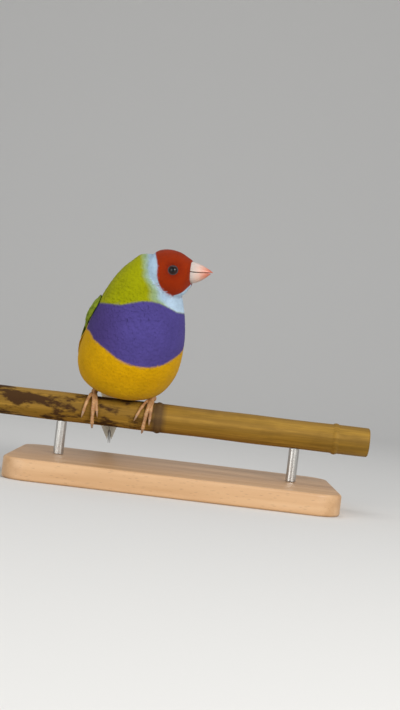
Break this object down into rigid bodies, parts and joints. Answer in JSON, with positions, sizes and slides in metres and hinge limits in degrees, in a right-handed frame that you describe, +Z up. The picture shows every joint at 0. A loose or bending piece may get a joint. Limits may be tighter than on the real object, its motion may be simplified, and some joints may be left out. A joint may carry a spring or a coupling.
{
  "type": "gouldian finch",
  "caption": "Life-size still model of a small finch gripping a short cut length of cane, held on a plain display base by short rods.",
  "frame": {"origin": "middle of the underside of the display base", "axes": "+X along the perch, to the right in the picture; +Y away from the viewer, the way the tail points; +Z up"},
  "size_m": [0.146, 0.1117, 0.0906],
  "materials": {
    "red plumage": "soft feathers",
    "sky plumage": "soft feathers",
    "purple plumage": "soft feathers",
    "vane green": "feather vanes",
    "vane grey": "feather vanes",
    "bill pink": "satin horn",
    "eye black": "wet gloss",
    "foot flesh": "scaled skin",
    "claw horn": "satin horn",
    "cane": "weathered cane",
    "beech": "satin varnish",
    "steel": "brushed"
  },
  "bodies": {
    "root": {"head": "red plumage", "neck": "sky plumage", "torso": "purple plumage", "wing_left": "vane green", "wing_right": "vane green", "tail": "vane grey", "bill_upper": "bill pink", "bill_lower": "bill pink", "eye_left": "eye black", "eye_right": "eye black", "foot_left": "foot flesh", "foot_right": "foot flesh", "leg_left": "foot flesh", "leg_right": "foot flesh", "claw_left_outer": "claw horn", "claw_left_middle": "claw horn", "claw_left_inner": "claw horn", "claw_left_hind": "claw horn", "claw_right_outer": "claw horn", "claw_right_middle": "claw horn", "claw_right_inner": "claw horn", "claw_right_hind": "claw horn", "perch": "cane", "stand_base": "beech", "stand_rod_left": "steel", "stand_rod_right": "steel"}
  },
  "joints": []
}
